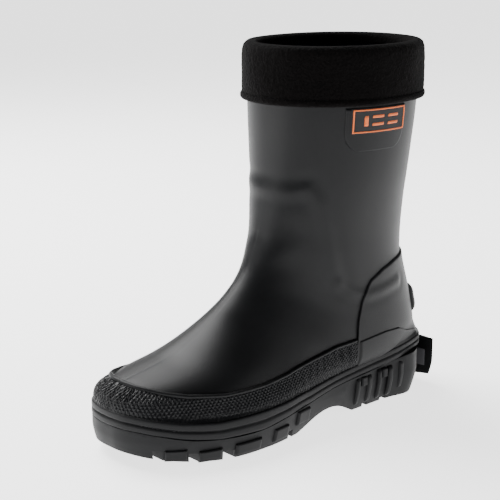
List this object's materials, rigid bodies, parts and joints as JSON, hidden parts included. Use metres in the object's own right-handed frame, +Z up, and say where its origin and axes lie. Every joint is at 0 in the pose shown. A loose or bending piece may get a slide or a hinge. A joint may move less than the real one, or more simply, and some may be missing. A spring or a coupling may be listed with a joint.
{
  "type": "lined wellington boot",
  "caption": "Left-foot short rubber boot with a textured toe rand, lugged sole and a lift-out fleece liner whose top turns down over the rim.",
  "frame": {"origin": "on the ground under the middle of the boot's length and width", "axes": "+Z up, toe towards -Y, outer (lateral) side of the left foot towards +X"},
  "size_m": [0.1342, 0.3083, 0.293],
  "materials": {
    "upper_rubber": "matte moulded rubber with fine grain",
    "rand_rubber": "moulded pyramid texture",
    "sole_rubber": "smooth matte rubber",
    "sole_foam": "foamed rubber, hidden",
    "footbed_foam": "foam sheet",
    "fleece": "napped polar fleece",
    "felt": "needled felt",
    "label_cloth": "woven label",
    "label_thread": "satin embroidery thread"
  },
  "bodies": {
    "boot": {"upper_shell": "upper_rubber", "toe_rand": "rand_rubber", "rand_lip": "rand_rubber", "heel_counter": "upper_rubber", "heel_guard": "upper_rubber", "kick_off_lug": "upper_rubber", "side_tab": "upper_rubber", "label_patch": "label_cloth", "foxing_band": "sole_rubber", "midsole": "sole_foam", "outsole": "sole_rubber", "footbed": "footbed_foam"},
    "liner": {"liner_leg": "fleece", "liner_foot": "fleece", "liner_sole": "felt", "liner_cuff": "fleece", "cuff_hem": "fleece"}
  },
  "joints": [
    {"name": "liner_lift", "type": "slide", "parent": "boot", "child": "liner", "axis": [0, 0, 1], "range_m": [0, 0.26], "deforming": ["liner_foot", "liner_sole"]}
  ]
}
